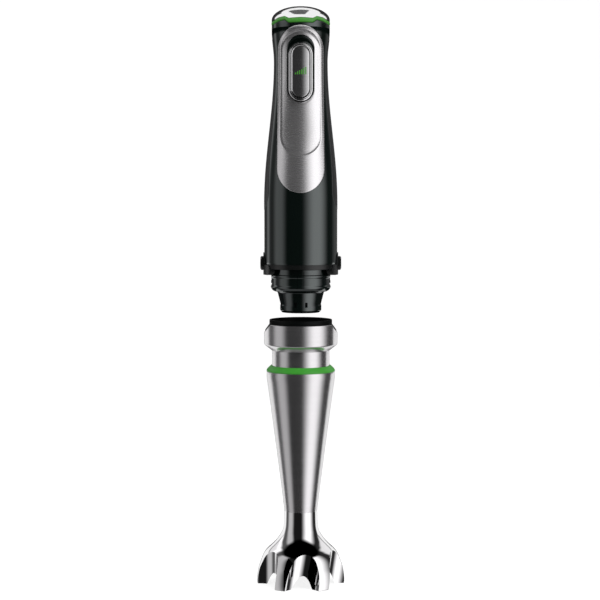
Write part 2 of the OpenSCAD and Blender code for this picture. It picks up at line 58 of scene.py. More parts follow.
# ---- the sizes of the CAD source that the looks repeat ----
# An outline is (lower radius, its height, upper radius, its height).
# CROWN is the light ring from its ends to its middle: (distance from the middle, height, half its width).
BODY_R, WAIST_R, HEAD_R = 29.0, 21.1, 22.9
BODY_Z, FLARE_Z, WAIST_Z, HEAD_Z = 256.5, 304.0, 416.0, 441.0
DOME_Z, DOME_H = 448.5, 10.8
PLATE = (18.6, 331.4, 17.8, 425.0)
DISH = (16.4, 357.6, 16.0, 423.8)
WELL = (10.5, 393.9, 10.5, 424.8)
HOLE = (9.8, 393.5, 9.8, 419.9)
BUTTON = (9.5, 393.5, 9.5, 419.9)
PAD = (6.65, 393.8, 6.65, 419.8)
GRIP = (14.4, 313.5, 7.0, 427.0)
CROWN = [(24, 445.6, 1.2), (21.4, 445.9, 1.2), (17.6, 447.6, 1.25), (12.6, 448.4, 1.3),
         (9.4, 446.4, 1.6), (0, 446.7, 1.75)]
REAR_RING = (445.6, 1.2)
TUBE_R, THROAT_R, TUBE_FULL_Z, SEAM_Z, TUBE_WALL, SEAM_GAP = 27.2, 13.3, 166.0, 58.5, 1.2, 0.03
NECK_R, COLLAR_R = 22.9, 29.3
SCALLOP_R, SCALLOP_AT, SCALLOP_LEAN, SCALLOP_OUT, BELL_TURN = 14.6, 38.5, 9.0, 5.0, 1.5
SLEEVE_TOP, CONE_TOP_Z, CONE_Z, FLAT_X, FLAT_RUN = 208.8, 192.6, 187.6, 24.3, 6.0
RELEASE_Z = 257.2
WALL, PLATE_DEPTH = 2.8, 1.58
LEAST_SQUARE = 0.04


def ease(t):
    return 0.5 - 0.5 * math.cos(math.pi * t)


def smooth(t):
    t = min(1.0, max(0.0, t))
    return t * t * (3 - 2 * t)


def body_radius(z):
    if z < FLARE_Z:
        return BODY_R
    if z < WAIST_Z:
        return BODY_R + (WAIST_R - BODY_R) * ease((z - FLARE_Z) / (WAIST_Z - FLARE_Z))
    if z < HEAD_Z:
        return WAIST_R + (HEAD_R - WAIST_R) * ease((z - WAIST_Z) / (HEAD_Z - WAIST_Z))
    return HEAD_R


def tube_radius(z):
    if z > TUBE_FULL_Z:
        return TUBE_R
    return THROAT_R + (TUBE_R - THROAT_R) * ((z - SEAM_Z) / (TUBE_FULL_Z - SEAM_Z)) ** 1.06


def dome_radius(z):
    if z < DOME_Z:
        return HEAD_R
    return HEAD_R * math.sqrt(max(0.0, 1 - ((z - DOME_Z) / DOME_H) ** 2))


# ---- meshes ----
def make(name, verts, faces, angle=32):
    """An object from points in millimetres, with its edges sharp above an angle in degrees."""
    me = bpy.data.meshes.new(name)
    me.from_pydata([Vector(v) * MM for v in verts], [], faces)
    ob = bpy.data.objects.new(name, me)
    bpy.context.scene.collection.objects.link(ob)
    tidy_mesh(ob, angle)
    return ob


def tidy_mesh(ob, angle=32):
    """Merges doubles, turns the faces outwards and marks the sharp edges."""
    bm = bmesh.new()
    bm.from_mesh(ob.data)
    bmesh.ops.remove_doubles(bm, verts=bm.verts, dist=MERGE_METRES)
    bmesh.ops.dissolve_degenerate(bm, edges=bm.edges, dist=SLIVER_METRES)
    bmesh.ops.recalc_face_normals(bm, faces=bm.faces)
    bm.to_mesh(ob.data)
    bm.free()
    ob.data.shade_smooth()
    ob.data.set_sharp_from_angle(angle=math.radians(angle))
    ob.data.update()


def grid_faces(rows, cols, wrap_rows, wrap_cols):
    """The quads of a grid of points, closed in either direction where it wraps."""
    faces = []
    for i in range(rows if wrap_rows else rows - 1):
        for j in range(cols if wrap_cols else cols - 1):
            a, b = i * cols + j, i * cols + (j + 1) % cols
            c = ((i + 1) % rows) * cols
            faces.append((a, b, c + (j + 1) % cols, c + j))
    return faces


def rounded(profile, size):
    """The closed profile with each real corner replaced by a short curve."""
    tiny, straight, share, steps = 1e-6, 0.32, 0.45, 3
    out = []
    for i, corner in enumerate(profile):
        before, here, after = (Vector(profile[k % len(profile)]) for k in (i - 1, i, i + 1))
        back, ahead = before - here, after - here
        nothing = min(back.length, ahead.length, corner[0]) < tiny
        if nothing or abs(back.angle(ahead) - math.pi) < straight:
            out.append(corner)
            continue
        cut = min(size, share * back.length, share * ahead.length)
        start, end = here + back.normalized() * cut, here + ahead.normalized() * cut
        for k in range(steps + 1):
            t = k / steps
            point = start * (1 - t) ** 2 + here * 2 * t * (1 - t) + end * t * t
            out.append((point.x, point.y))
    return out


def lathe(name, profile, seg=TURNED_SIDES):
    """A closed profile of (radius, height) turned about the drive axis."""
    verts = []
    for r, z in profile:
        for j in range(seg):
            a = 2 * math.pi * j / seg
            verts.append((r * math.cos(a), r * math.sin(a), z))
    return make(name, verts, grid_faces(len(profile), seg, True, True))


def pod(shape, grow=0.0, arc=40, side=44):
    """Points round two circles and their common tangents: (x, z), closed, evenly numbered."""
    r1, z1, r2, z2 = shape
    r1, r2 = max(0.0, r1 + grow), max(0.0, r2 + grow)
    lean = math.asin((r1 - r2) / (z2 - z1))
    pts = []
    a0 = math.pi - lean
    sweep = math.pi + 2 * lean
    for i in range(arc):
        a = a0 + sweep * i / arc
        pts.append((r1 * math.cos(a), z1 + r1 * math.sin(a)))
    s = (r1 * math.cos(lean), z1 + r1 * math.sin(lean))
    e = (r2 * math.cos(lean), z2 + r2 * math.sin(lean))
    for i in range(side):
        t = i / side
        pts.append((s[0] + (e[0] - s[0]) * t, s[1] + (e[1] - s[1]) * t))
    sweep = math.pi - 2 * lean
    for i in range(arc):
        a = lean + sweep * i / arc
        pts.append((r2 * math.cos(a), z2 + r2 * math.sin(a)))
    for i in range(side):
        t = i / side
        pts.append((-e[0] + (e[0] - s[0]) * t, e[1] + (s[1] - e[1]) * t))
    return pts


def grown(shape, grow):
    """The outline moved outwards, or inwards where grow is negative."""
    return (shape[0] + grow, shape[1], shape[2] + grow, shape[3])


def core(shape, t):
    """The outline shrunk towards its own middle line: 1 is the outline, 0 the line."""
    return (shape[0] * t, shape[1], shape[2] * t, shape[3])


def between(a, b, t):
    return tuple(p + (q - p) * t for p, q in zip(a, b))


def on_front(x, z, inset):
    """The point of the body's front at (x, z), some way in from its surface."""
    r = body_radius(z) - inset
    return (x, -math.sqrt(max(LEAST_SQUARE, r * r - x * x)), z)


def on_side(sign):
    """As on_front, for the right side (1) or the left (-1)."""
    def place(y, z, inset):
        r = body_radius(z) - inset
        return (sign * math.sqrt(max(LEAST_SQUARE, r * r - y * y)), y, z)
    return place


def ringed(name, rings, place, closed=False, angle=32):
    """A piece from rings of one outline, each of them (points, inset); an inset may be a function."""
    verts = []
    for pts, inset in rings:
        for x, z in pts:
            verts.append(place(x, z, inset(x, z) if callable(inset) else inset))
    return make(name, verts, grid_faces(len(rings), len(rings[0][0]), closed, True), angle)


def block(name, x0, x1, y0, y1, z0, z1):
    verts = [(x, y, z) for x in (x0, x1) for y in (y0, y1) for z in (z0, z1)]
    faces = [(0, 1, 3, 2), (4, 6, 7, 5), (0, 4, 5, 1), (2, 3, 7, 6), (0, 2, 6, 4), (1, 5, 7, 3)]
    return make(name, verts, faces)


def prism(name, low, high):
    """A solid between two outlines that have the same number of points."""
    n = len(low)
    faces = [(k, (k + 1) % n, n + (k + 1) % n, n + k) for k in range(n)]
    faces += [tuple(reversed(range(n))), tuple(range(n, 2 * n))]
    return make(name, low + high, faces)


def boolean(ob, tool, operation="DIFFERENCE", angle=32):
    """Cuts the tool out of the piece, or keeps only what both hold, and removes the tool."""
    cut = ob.modifiers.new("cut", "BOOLEAN")
    cut.operation, cut.object, cut.solver = operation, tool, "MANIFOLD"
    depsgraph = bpy.context.evaluated_depsgraph_get()
    result = bpy.data.meshes.new_from_object(ob.evaluated_get(depsgraph))
    ob.modifiers.remove(cut)
    if len(result.vertices) == len(ob.data.vertices):
        raise RuntimeError("the cut by %s changed nothing on %s" % (tool.name, ob.name))
    ob.data = result
    bpy.data.objects.remove(tool)
    tidy_mesh(ob, angle)


def true_normals(ob, normal_at):
    """Gives the faces on a turned surface its exact normals, so that cuts leave no ripples in the gloss."""
    same_way = 0.985
    mesh = ob.data
    found = [corner.vector.copy() for corner in mesh.corner_normals]
    for face in mesh.polygons:
        for loop in face.loop_indices:
            normal = normal_at(mesh.vertices[mesh.loops[loop].vertex_index].co / MM)
            if normal is not None and normal.dot(face.normal) > same_way:
                found[loop] = normal
    mesh.normals_split_custom_set(found)


def turned_normal(radius):
    """A function that gives the normal at a point of the surface with this radius, or None off it."""
    reach, step = 0.02, 0.05

    def at(co):
        r = math.hypot(co.x, co.y)
        if abs(r - radius(co.z)) > reach:
            return None
        slope = (radius(co.z + step) - radius(co.z - step)) / (2 * step)
        return Vector((co.x / r, co.y / r, -slope)).normalized()
    return at


# ---- materials ----
def material(name, colour, rough, metal=0.0, grain=(400, 400, 400), vary=0.12, bump=0.0, ior=1.5,
             coat=0.0, tint=0.06, glow=0.0):
    """A surface whose roughness, colour and relief follow one noise, scaled along each axis by grain."""
    mat = bpy.data.materials.new(name)
    mat.use_nodes = True
    tree = mat.node_tree
    shader = tree.nodes["Principled BSDF"]
    shader.inputs["Metallic"].default_value = metal
    shader.inputs["IOR"].default_value = ior
    shader.inputs["Coat Weight"].default_value = coat
    shader.inputs["Coat Roughness"].default_value = 0.04
    coords = tree.nodes.new("ShaderNodeTexCoord")
    mapping = tree.nodes.new("ShaderNodeMapping")
    mapping.inputs["Scale"].default_value = grain
    noise = tree.nodes.new("ShaderNodeTexNoise")
    noise.inputs["Scale"].default_value = 1.0
    noise.inputs["Detail"].default_value = 4.0
    tree.links.new(coords.outputs["Object"], mapping.inputs["Vector"])
    tree.links.new(mapping.outputs["Vector"], noise.inputs["Vector"])
    spread = tree.nodes.new("ShaderNodeMapRange")
    spread.inputs["From Min"].default_value = 0.25
    spread.inputs["From Max"].default_value = 0.75
    spread.inputs["To Min"].default_value = rough * (1 - vary)
    spread.inputs["To Max"].default_value = rough * (1 + vary)
    tree.links.new(noise.outputs["Fac"], spread.inputs["Value"])
    tree.links.new(spread.outputs["Result"], shader.inputs["Roughness"])
    ramp = tree.nodes.new("ShaderNodeValToRGB")
    dark, light = ramp.color_ramp.elements
    dark.position, light.position = 0.3, 0.7
    dark.color = (*[c * (1 - tint) for c in colour], 1)
    light.color = (*[min(1, c * (1 + tint)) for c in colour], 1)
    tree.links.new(noise.outputs["Fac"], ramp.inputs["Fac"])
    tree.links.new(ramp.outputs["Color"], shader.inputs["Base Color"])
    if bump:
        relief = tree.nodes.new("ShaderNodeBump")
        relief.inputs["Strength"].default_value = bump
        relief.inputs["Distance"].default_value = 0.0002
        tree.links.new(noise.outputs["Fac"], relief.inputs["Height"])
        tree.links.new(relief.outputs["Normal"], shader.inputs["Normal"])
    # Glow makes the surface give off light of its own colour; on the wiper ring and the level bars this is
    # painted light.
    if glow:
        shader.inputs["Emission Color"].default_value = (*colour, 1)
        shader.inputs["Emission Strength"].default_value = glow
    return mat


def set_shader(mat, socket, value):
    mat.node_tree.nodes["Principled BSDF"].inputs[socket].default_value = value


GLOSS = material("gloss_black", (0.0026, 0.0056, 0.0046), 0.10, grain=(60, 60, 60), ior=1.95, coat=0.15)
BEZEL = material("bezel_chrome", (0.9, 0.9, 0.905), 0.15, 1.0, grain=(80, 80, 80), vary=0.2, tint=0.01)
CAP = material("cap_chrome", (0.9, 0.9, 0.905), 0.11, 1.0, grain=(60, 60, 60), vary=0.2, tint=0.01)
set_shader(GLOSS, "Specular Tint", (0.92, 1.0, 0.99, 1))
SOCKET = material("socket_black", (0.004, 0.0048, 0.0046), 0.3, grain=(300, 300, 300), ior=1.38)
set_shader(SOCKET, "Specular IOR Level", 0.12)
SATIN = material("satin_black", (0.007, 0.0078, 0.0076), 0.24, grain=(900, 900, 900), ior=1.5, bump=0.015)
RUBBER = material("soft_black", (0.011, 0.012, 0.012), 0.38, grain=(1600, 1600, 1600), ior=1.7, bump=0.12)
PLATE_STEEL = material("plate_steel", (0.84, 0.83, 0.84), 0.27, 0.9, grain=(22, 22, 5200), vary=0.05,
                       bump=0.005, tint=0.014)
TUBE_STEEL = material("tube_steel", (0.70, 0.69, 0.70), 0.2, 0.94, grain=(30, 30, 4200), vary=0.25, bump=0.02,
                      tint=0.05)
MIRROR = material("mirror_steel", (0.86, 0.855, 0.86), 0.035, 1.0, grain=(40, 40, 40), vary=0.3, tint=0.01)
CHROME = material("chrome", (0.84, 0.84, 0.85), 0.06, 1.0, grain=(60, 60, 60), vary=0.3, tint=0.02)
PAD_STEEL = material("pad_steel", (0.62, 0.62, 0.625), 0.17, 0.96, grain=(60, 60, 3600), vary=0.3, bump=0.03,
                     tint=0.08)
GREEN = material("green_clear", (0.045, 0.21, 0.025), 0.28, grain=(250, 250, 250), ior=1.5, glow=0.3)
# The wiper ring's rubber glows a little: painted light, since it is no lamp.
GREEN_RUBBER = material("green_rubber", (0.045, 0.30, 0.03), 0.42, grain=(500, 500, 500), ior=1.5, glow=0.12)
# The level bars glow a little: painted light, since they are no lamps.
GREEN_MARK = material("green_mark", (0.06, 0.27, 0.03), 0.4, grain=(500, 500, 500), glow=0.15)
SPRING = material("spring_steel", (0.5, 0.5, 0.51), 0.28, 1.0, grain=(900, 900, 900), bump=0.05)
BLADE = material("blade_steel", (0.74, 0.74, 0.75), 0.16, 1.0, grain=(1400, 60, 60), vary=0.3, bump=0.05)
GROUND = material("ground_steel", (0.6, 0.6, 0.61), 0.2, 1.0, grain=(40, 40, 2500), vary=0.25, bump=0.04)
ALLOY = material("plain_alloy", (0.62, 0.62, 0.63), 0.38, 1.0, grain=(500, 500, 500), bump=0.08)
INNER = material("inner_black", (0.022, 0.022, 0.023), 0.45, grain=(1200, 1200, 1200), bump=0.08)
BOARD = material("board_green", (0.015, 0.11, 0.04), 0.32, grain=(700, 700, 700), tint=0.25, coat=0.4)
BLUE = material("sleeve_blue", (0.03, 0.07, 0.27), 0.3, grain=(300, 300, 300))
COPPER = material("copper_wire", (0.5, 0.2, 0.08), 0.3, 1.0, grain=(60, 60, 3500), vary=0.3, bump=0.3,
                  tint=0.2)
BRASS = material("brass", (0.6, 0.43, 0.17), 0.3, 1.0, grain=(400, 400, 400), bump=0.05)
IRON = material("stacked_sheet", (0.22, 0.22, 0.23), 0.4, 1.0, grain=(20, 20, 6000), vary=0.3, bump=0.3,
                tint=0.2)
CARBON = material("carbon", (0.03, 0.03, 0.032), 0.5, grain=(2000, 2000, 2000), bump=0.1)
SEAL = material("seal_black", (0.012, 0.012, 0.012), 0.5, grain=(1500, 1500, 1500), bump=0.08)

BY_SLOT = {
    "black_gloss": GLOSS, "black_matte": SATIN, "soft_grip": RUBBER, "brushed_steel": TUBE_STEEL,
    "polished_steel": MIRROR, "chrome": CHROME, "button_metal": PAD_STEEL, "green_clear": GREEN,
    "green_rubber": GREEN_RUBBER, "seal_rubber": SEAL, "board_green": BOARD, "inner_plastic": INNER,
    "capacitor_blue": BLUE, "inner_metal": ALLOY, "stator_iron": IRON, "copper": COPPER, "brass": BRASS,
    "carbon": CARBON, "bearing_steel": GROUND, "spring_steel": SPRING, "blade_steel": BLADE,
}
for sub in frame["record"]["subparts"]:
    node = frame["nodes"].get(sub["node"])
    if node is not None:
        node.data.materials.clear()
        node.data.materials.append(BY_SLOT[sub["material_slot"]])


def finish_piece(ob, mat, body, slot, *nodes):
    """Gives a piece its material and its body, and hides the CAD nodes that it stands for; the slot is not
    used.
    """
    ob.data.materials.clear()
    ob.data.materials.append(mat)
    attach(ob, body)
    if nodes:
        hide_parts(*nodes)


# ---- handle shells ----
def crown_edge(az, side):
    """Height of an edge of the light ring at an azimuth, 0 towards the front."""
    x = abs(HEAD_R * math.sin(az))
    if math.cos(az) <= 0:
        return REAR_RING[0] + side * REAR_RING[1]
    for (x1, z1, h1), (x0, z0, h0) in zip(CROWN, CROWN[1:]):
        if x >= x0:
            t = (x - x0) / (x1 - x0)
            return (z0 + side * h0) * (1 - t) + (z1 + side * h1) * t
    return CROWN[-1][1] + side * CROWN[-1][2]


def banded(name, outer, inner, rows, seg=480, angle=32):
    """A closed skin round the axis; outer and inner give (radius, height) at a row share and an azimuth."""
    verts = []
    skins = [(outer, i) for i in range(rows + 1)] + [(inner, i) for i in range(rows, -1, -1)]
    for skin, i in skins:
        for j in range(seg):
            az = 2 * math.pi * j / seg
            r, z = skin(i / rows, az)
            verts.append((r * math.sin(az), -r * math.cos(az), z))
    return make(name, verts, grid_faces(2 * rows + 2, seg, True, True), angle)


LEVEL_Z = 436.0
LEVEL_ROWS, CROWN_ROWS = 0.8, 0.2
RING_GAP, RIM_ROUND = 0.12, 0.35


def housing_height(t, az):
    """Height of a row of the shell: level up to LEVEL_Z, then drawn out to meet the light ring."""
    top = crown_edge(az, -1) - RING_GAP
    if t < LEVEL_ROWS:
        return BODY_Z + (LEVEL_Z - BODY_Z) * t / LEVEL_ROWS
    return LEVEL_Z + (top - LEVEL_Z) * (t - LEVEL_ROWS) / CROWN_ROWS


def housing_outer(t, az):
    z = housing_height(t, az)
    edge = min(z - BODY_Z, crown_edge(az, -1) - RING_GAP - z)
    return body_radius(z) - RIM_ROUND * (1 - min(1.0, edge / RIM_ROUND)) ** 2, z


def housing_inner(t, az):
    z = housing_height(t, az)
    return body_radius(z) - WALL, z


def pocket(name, shape, place, grow, depth, steps=6):
    """A cutting tool: the outline, from above the surface down to a depth."""
    above = -2.0
    full = grown(shape, grow)
    rings = [(pod(core(full, k / steps)), depth) for k in range(steps + 1)]
    rings += [(pod(core(full, k / steps)), above) for k in range(steps, -1, -1)]
    return ringed(name, rings, place)


def inside_pod(shape, x, z):
    """How far a point lies inside an outline, in millimetres."""
    rise = shape[3] - shape[1]
    t = min(1.0, max(0.0, (z - shape[1]) / rise))
    return shape[0] + (shape[2] - shape[0]) * t - math.hypot(x, z - shape[1] - rise * t)


DISH_DEPTH, DISH_LEAST, DISH_HALF, DISH_RUN = 2.1, 0.05, 16.6, 24.0
SHEET, DISH_BLEND = 0.45, 2.4


def dish_full(x, z):
    """Depth of the finger recess, which scoops in from its lower end."""
    t = min(1.0, max(0.0, (z - DISH[1] + DISH[0]) / DISH_RUN))
    return DISH_DEPTH * max(0.0, 1 - (x / DISH_HALF) ** 2) * t * (2 - t) + DISH_LEAST


def plate_back(x, z):
    """Depth of the back of the faceplate, which follows the dish."""
    deep = max(0.0, dish_full(x, z) + SHEET - PLATE_DEPTH)
    return PLATE_DEPTH + deep * smooth(inside_pod(DISH, x, z) / DISH_BLEND)


housing = banded("housing", housing_outer, housing_inner, 150)
boolean(housing, pocket("cut_plate", PLATE, on_front, 0.16, lambda x, z: plate_back(x, z) + 0.06, 14))
boolean(housing, pocket("cut_well", WELL, on_front, 0.1, 6.0))
for sign in (1, -1):
    boolean(housing, pocket("cut_grip", GRIP, on_side(sign), 0.14, PLATE_DEPTH))
step_in, step_out, step_low, step_high = BODY_R - 0.5, BODY_R + 5, BODY_Z - 3, BODY_Z + 0.01
boolean(housing, lathe("cut_foot", [(step_in, step_low), (step_out, step_low), (step_out, step_high),
                                    (step_in, step_high)], 96))
rear = housing.copy()
rear.data = housing.data.copy()
rear.name = "rear_shell"
bpy.context.scene.collection.objects.link(rear)
housing.name = "front_shell"
boolean(housing, block("cut_rear", -60, 60, -0.07, 80, 240, 470))
boolean(rear, block("cut_front", -60, 60, -80, 0.07, 240, 470))
for ob, node in ((housing, "front_housing"), (rear, "rear_housing")):
    true_normals(ob, turned_normal(body_radius))
    finish_piece(ob, GLOSS, "motor_unit", "black_gloss", node)


# ---- faceplate with its dished finger recess ----
PLATE_PROUD = -0.2


def dish_at(share):
    """An inset between the plate's face (0) and the full depth of its dish (1)."""
    return lambda x, z: PLATE_PROUD + (dish_full(x, z) - PLATE_PROUD) * share


def dish_plus(more):
    """An inset that follows the dish, deeper by a fixed amount."""
    return lambda x, z: dish_full(x, z) + more


rings = [(pod(WELL, 0.06), plate_back), (pod(WELL, 0.06), dish_plus(0.22)),
         (pod(WELL, 0.13), dish_plus(0.07)), (pod(WELL, 0.3), dish_full)]
start = grown(WELL, 0.3)
stop = grown(DISH, -DISH_BLEND)
for k in range(1, 15):
    rings.append((pod(between(start, stop, k / 15)), dish_full))
for g, share in ((-DISH_BLEND, 1.0), (-2.0, 0.985), (-1.6, 0.93), (-1.25, 0.83), (-0.95, 0.68), (-0.7, 0.5),
                 (-0.5, 0.33), (-0.3, 0.16), (-0.1, 0.05), (0.1, 0.0)):
    rings.append((pod(DISH, g), dish_at(share)))
start = grown(DISH, 0.1)
stop = grown(PLATE, -0.45)
for k in range(1, 11):
    rings.append((pod(between(start, stop, k / 10)), PLATE_PROUD))
for g, inset in ((-0.3, -0.19), (-0.17, -0.14), (-0.07, -0.05), (-0.02, 0.1), (0, 0.3), (0, 1.57)):
    rings.append((pod(PLATE, g), inset))
for k in range(13, 0, -1):
    rings.append((pod(between(WELL, PLATE, k / 14)), plate_back))
plate = ringed("face_plate", rings, on_front, closed=True, angle=75)
finish_piece(plate, PLATE_STEEL, "motor_unit", "brushed_steel", "faceplate")

# ---- black well round the button ----
rings = [(pod(WELL, -0.02), 1.6), (pod(WELL, -0.02), dish_plus(0.12)), (pod(WELL, -0.1), dish_plus(0.04)),
         (pod(WELL, -0.25), dish_plus(0.1))]
start = grown(WELL, -0.25)
for k in range(1, 9):
    t = k / 8
    rings.append((pod(between(start, HOLE, t)),
                  lambda x, z, t=t: (dish_full(x, z) + 0.1) * (1 - t) + (dish_full(x, z) + 1.5) * smooth(t)))
rings += [(pod(HOLE, -0.04), dish_plus(1.7)), (pod(HOLE), 4.4), (pod(WELL, -0.02), 4.4)]
well = ringed("button_well", rings, on_front, closed=True, angle=40)
finish_piece(well, GLOSS, "motor_unit", "black_gloss", "button_surround")

# ---- side grips ----
for sign, side in ((1, "right"), (-1, "left")):
    inner = grown(GRIP, -0.9)
    rings = [(pod(core(inner, k / 10)), -0.13) for k in range(10)]
    for g, inset in ((-0.9, -0.13), (-0.5, -0.1), (-0.25, 0.0), (-0.1, 0.15), (0, 0.4), (0, 1.55)):
        rings.append((pod(GRIP, g), inset))
    rings += [(pod(core(GRIP, k / 8)), 1.56) for k in range(7, -1, -1)]
    grip = ringed("grip_" + side, rings, on_side(sign))
    finish_piece(grip, RUBBER, "motor_unit", "soft_grip", "side_grip_" + side)

# ---- speed button ----
bezel = [(0, 3.4), (0, -0.7), (-0.04, -1.05), (-0.16, -1.34), (-0.36, -1.52), (-0.62, -1.58), (-0.95, -1.58),
         (-1.12, -1.5), (-1.2, -1.3), (-1.24, -0.95), (-1.46, -0.95), (-1.5, -1.28), (-1.66, -1.38),
         (-1.9, -1.36), (-2.3, -1.22), (-2.62, -1.06), (-2.78, -0.88), (-2.82, -0.5), (-2.82, 0.2),
         (-2.0, 3.4)]
rings = [(pod(BUTTON, g, arc=64), inset) for g, inset in bezel]
button = ringed("button_bezel", rings, on_front, closed=True, angle=75)
finish_piece(button, BEZEL, "speed_key", "chrome", "speed_button")

inner = grown(PAD, -0.35)
rings = [(pod(core(inner, k / 14)), -0.98) for k in range(14)]
for g, inset in ((-0.35, -0.98), (-0.16, -0.95), (-0.05, -0.86), (0, -0.7), (0, 0.1)):
    rings.append((pod(PAD, g), inset))
rings += [(pod(core(PAD, k / 6)), 0.12) for k in range(5, -1, -1)]
pad = ringed("pad_plate", rings, on_front, angle=40)
finish_piece(pad, PAD_STEEL, "speed_key", "button_metal", "button_pad")


def patch(name, x0, x1, z0, z1, front, back):
    """A small slab on the front of the body, between two insets."""
    nx, nz = 6, 8
    verts, faces = [], []
    for inset in (front, back):
        for i in range(nz + 1):
            for j in range(nx + 1):
                verts.append(on_front(x0 + (x1 - x0) * j / nx, z0 + (z1 - z0) * i / nz, inset))
    w, size = nx + 1, (nx + 1) * (nz + 1)
    for i in range(nz):
        for j in range(nx):
            a = i * w + j
            faces.append((a, a + 1, a + w + 1, a + w))
            faces.append((size + a, size + a + w, size + a + w + 1, size + a + 1))
    loop = ([j for j in range(nx)] + [i * w + nx for i in range(nz)] + [nz * w + j for j in range(nx, 0, -1)]
            + [i * w for i in range(nz, 0, -1)])
    for a, b in zip(loop, loop[1:] + loop[:1]):
        faces.append((a, a + size, b + size, b))
    return make(name, verts, faces)


# Six green level bars on the button; the glow of their material is painted light.
BAR_LEFT, BAR_PITCH, BAR_WIDTH, BAR_FOOT, BAR_TOP, BAR_RISE = -4.5, 1.6, 0.85, 404.7, 406.1, 0.88
for i in range(6):
    x0 = BAR_LEFT + BAR_PITCH * i
    bar = patch("level_bar_%d" % (i + 1), x0, x0 + BAR_WIDTH, BAR_FOOT, BAR_TOP + BAR_RISE * i, -1.03, -0.9)
    finish_piece(bar, GREEN_MARK, "speed_key", "button_metal")

# ---- cap, light ring, safety key ----
CAP_WALL, CAP_GAP, CAP_ROUND = 1.8, 0.04, 0.25
KEY = (6.0, -4.0, 6.0, 4.0)
KEY_FOOT_Z, KEY_EDGE = 453.7, 40


def cap_point(t, az, inset):
    low = crown_edge(az, 1) + CAP_GAP
    top = DOME_Z + DOME_H - inset
    z = low + (top - low) * math.sin(t * math.pi / 2)
    h = (z - DOME_Z) / (DOME_H - inset)
    r = HEAD_R - inset if z < DOME_Z else (HEAD_R - inset) * math.sqrt(max(0.0, 1 - h * h))
    if inset == 0:
        r -= CAP_ROUND * (1 - min(1.0, (z - low) / CAP_ROUND)) ** 2
    return r, z


def key_tool(name, grow, z0, z1):
    """A cutting tool with the outline of the safety key."""
    outline = pod(KEY, grow, 32, 4)
    return prism(name, [(x, y, z0) for x, y in outline], [(x, y, z1) for x, y in outline])


cap = banded("cap_shell", lambda t, az: cap_point(t, az, 0), lambda t, az: cap_point(t, az, CAP_WALL), 60,
             384, 50)
boolean(cap, key_tool("cut_key_hole", 0.3, 452, 470), angle=50)
true_normals(cap, turned_normal(dome_radius))
finish_piece(cap, CAP, "motor_unit", "chrome", "top_cap")

key_profile = [(0.0, KEY_FOOT_Z), (HEAD_R * math.cos(math.radians(KEY_EDGE)), KEY_FOOT_Z)]
for degrees in range(KEY_EDGE, 91, 2):
    a = math.radians(degrees)
    key_profile.append((HEAD_R * math.cos(a), DOME_Z + DOME_H * math.sin(a)))
key = lathe("safety_cap", key_profile, 192)
boolean(key, key_tool("keep_key", 0.0, 450, 470), "INTERSECT")
finish_piece(key, CAP, "safety_key", "chrome", "safety_button")


def ring_point(t, az):
    """The outer face of the light ring, which stands a little proud with soft edges."""
    low, high = crown_edge(az, -1), crown_edge(az, 1)
    return HEAD_R + 0.16 - 0.5 * abs(2 * t - 1) ** 5, low + (high - low) * t


light = banded("light_band", ring_point, lambda t, az: (HEAD_R - WALL, ring_point(t, az)[1]), 14, 480, 50)
finish_piece(light, GREEN, "motor_unit", "green_clear", "light_ring")

# ---- nose ----
nose = lathe("nose_body", rounded([
    (21.4, 253), (23.3, 253), (23.3, 248.4), (23.88, 247.8), (23.88, 246.5), (23.3, 245.6), (23.3, 240.0),
    (23.88, 239.0), (23.88, 237.9), (22.5, 235.8), (21.0, 234.9), (18.7, 234.4), (18.3, 233.4),
    (16.05, 224.5), (16.4, 223.6), (16.4, 219.8), (14.9, 218), (13, 218), (13, 231), (4.5, 231),
    (4.5, 232.9), (9.6, 232.9), (9.6, 240.5), (21.4, 240.5)], 0.45))
for x in (-2.7, 2.5):
    boolean(nose, block("cut_line", x - 0.16, x + 0.16, -26, -22.9, 237.6, 251))
for x in (-4.4, 4.4):
    boolean(nose, block("cut_slot", x - 1, x + 1, -18, -14.2, 222.6, 226.5))
for sign in (-1, 1):
    boolean(nose, block("cut_latch", *sorted((19 * sign, 30 * sign)), -4.1, 4.1, 240.5, 254))
finish_piece(nose, GLOSS, "motor_unit", "black_matte", "connector_nose")

# ---- collar and neck ----
def side_flat(ob, drop):
    """Cuts the sloping flat on each side that makes room for an ear of the handle."""
    far, foot = 45, SLEEVE_TOP - drop
    line = [(FLAT_X, SLEEVE_TOP), (FLAT_X + FLAT_RUN, foot), (far, foot), (far, SLEEVE_TOP)]
    for sign in (-1, 1):
        boolean(ob, prism("cut_flat", *([(sign * x, y, z) for x, z in line] for y in (-far, far))))


sleeve = lathe("sleeve_shell", rounded([
    (28.5, SLEEVE_TOP), (COLLAR_R, SLEEVE_TOP), (COLLAR_R, CONE_TOP_Z + 0.2), (28.85, CONE_TOP_Z - 0.5),
    (23.1, CONE_Z), (22.95, CONE_Z + 0.9), (28.5, CONE_TOP_Z + 0.6)], 0.3))
side_flat(sleeve, 8.6)
finish_piece(sleeve, TUBE_STEEL, "shaft_collar", "brushed_steel", "collar_sleeve")
insert = lathe("insert_body", rounded([
    (24.1, 211.5), (24.4, 212.3), (24.75, 212.3), (25.0, 211.5), (25.0, SLEEVE_TOP - 0.1),
    (28.46, SLEEVE_TOP - 0.1), (28.46, CONE_TOP_Z + 0.7), (22.9, CONE_Z + 1), (22.1, CONE_Z + 1), (22.1, 168),
    (5, 168), (5, 170), (8.02, 170), (8.02, 177.5), (18.9, 177.5), (18.9, 194.4), (24.1, 194.4)], 0.25))
side_flat(insert, 7.2)
finish_piece(insert, SOCKET, "shaft_collar", "black_gloss", "collar_insert")
neck = lathe("neck_shell", rounded([
    (22.1, CONE_Z + 0.9), (NECK_R, CONE_Z + 0.9), (NECK_R, 161.6), (23.5, 161.6), (23.5, 160),
    (22.1, 160)], 0.15))
finish_piece(neck, TUBE_STEEL, "shaft_collar", "brushed_steel", "neck_tube")

